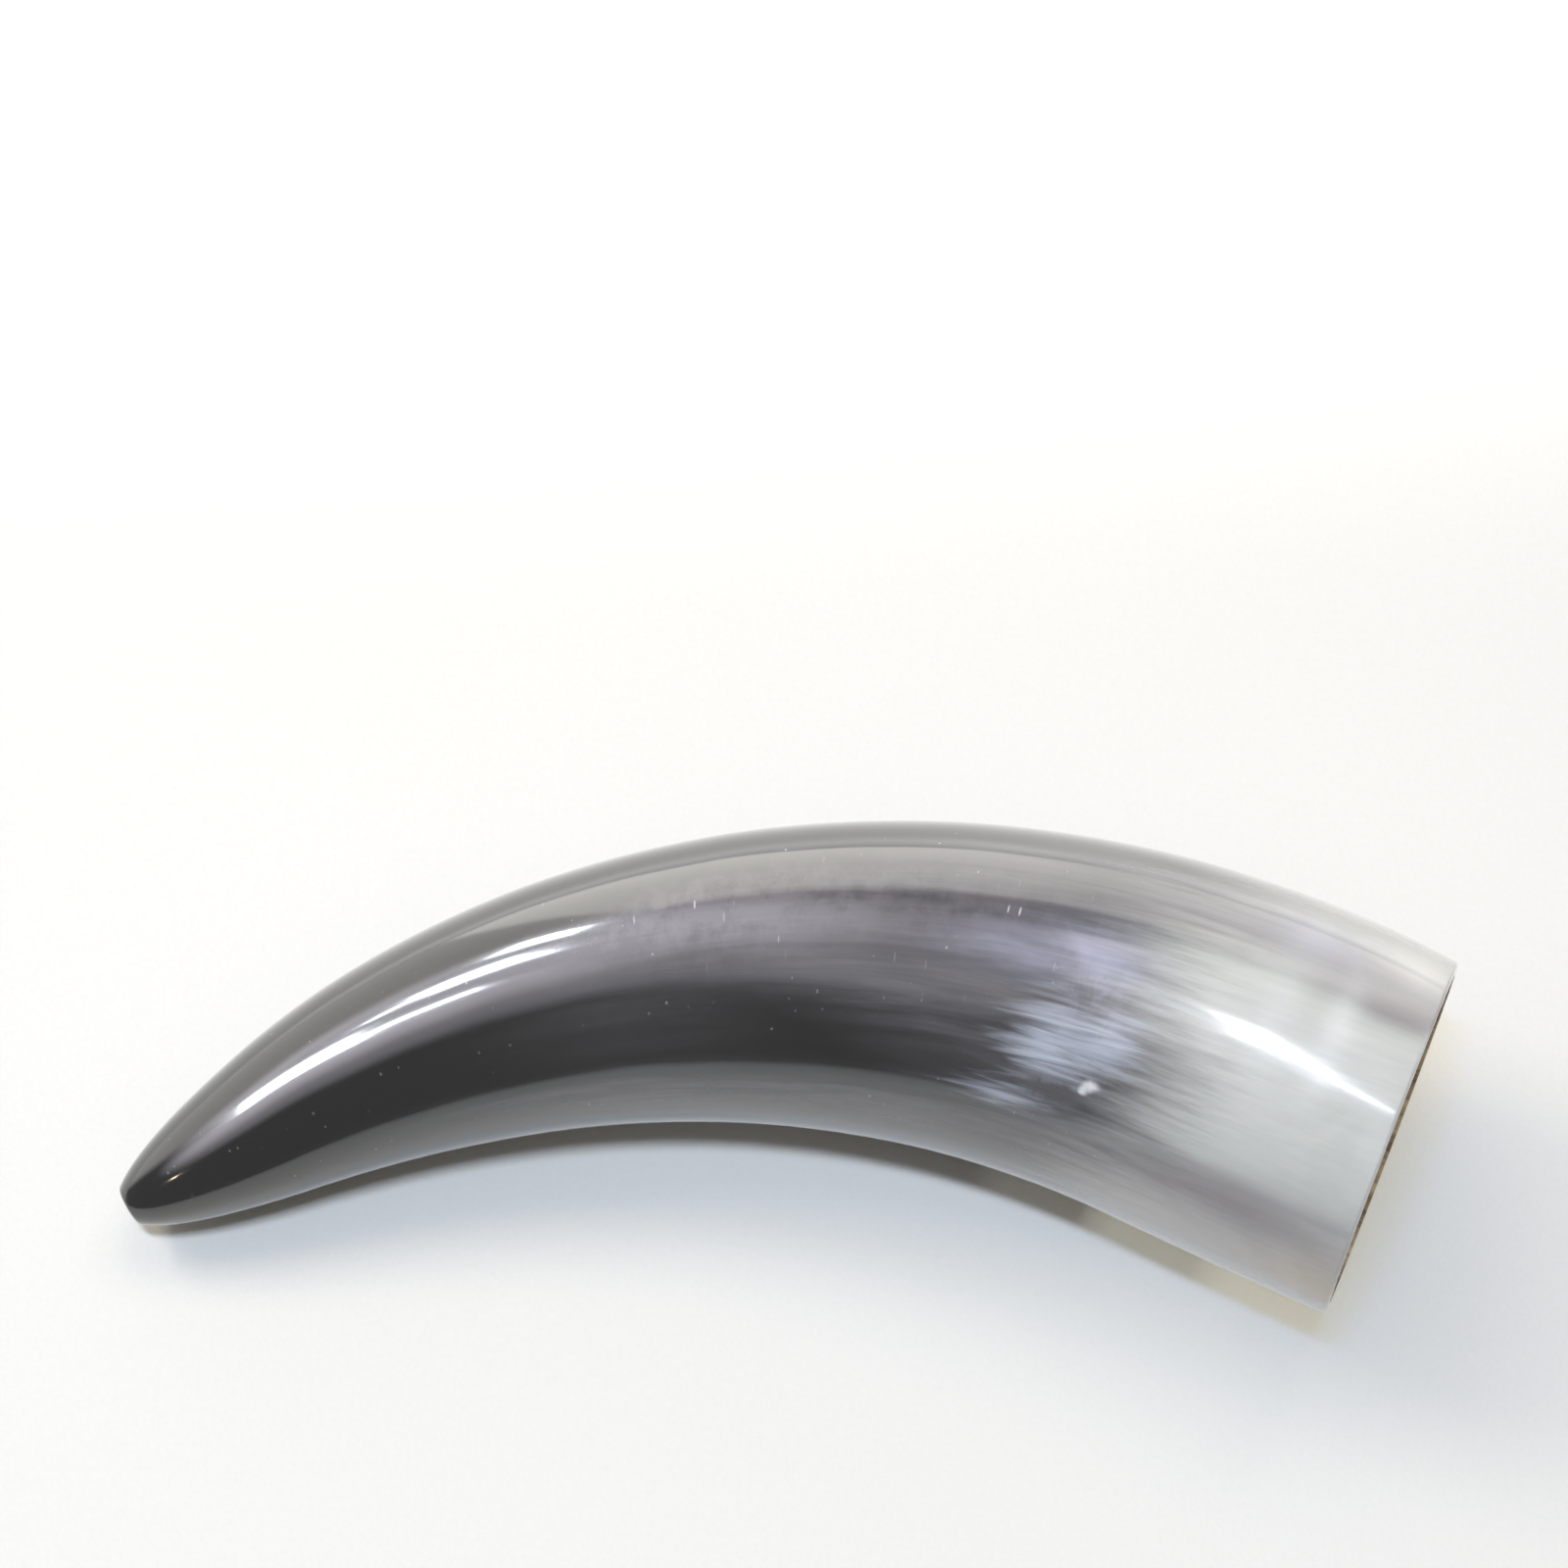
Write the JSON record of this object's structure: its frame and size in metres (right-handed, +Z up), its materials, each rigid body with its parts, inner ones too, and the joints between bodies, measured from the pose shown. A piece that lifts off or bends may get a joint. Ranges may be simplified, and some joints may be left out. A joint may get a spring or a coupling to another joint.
{
  "type": "shofar",
  "caption": "Natural cattle horn trumpet, bent and polished, black at the blown tip and pearly at the open bell, lying on its side.",
  "frame": {"origin": "on the table surface, under the centre of the horn's box as it lies at rest", "axes": "+X along the length, towards the bell; +Y towards the outer side of the bend; +Z up"},
  "size_m": [0.249, 0.094, 0.0707],
  "materials": {
    "black_horn": "polished to a high gloss",
    "dark_horn": "polished to a high gloss",
    "cloudy_horn": "polished, cloudy",
    "pearl_horn": "polished, pearly and slightly translucent",
    "lining_horn": "scraped, satin"
  },
  "bodies": {
    "root": {"mouthpiece_tip": "black_horn", "dark_cone_1": "dark_horn", "dark_cone_2": "dark_horn", "dark_cone_3": "dark_horn", "cloudy_cone": "cloudy_horn", "pearl_cone": "pearl_horn", "bell_cone": "pearl_horn", "inner_lining": "lining_horn"}
  },
  "joints": []
}
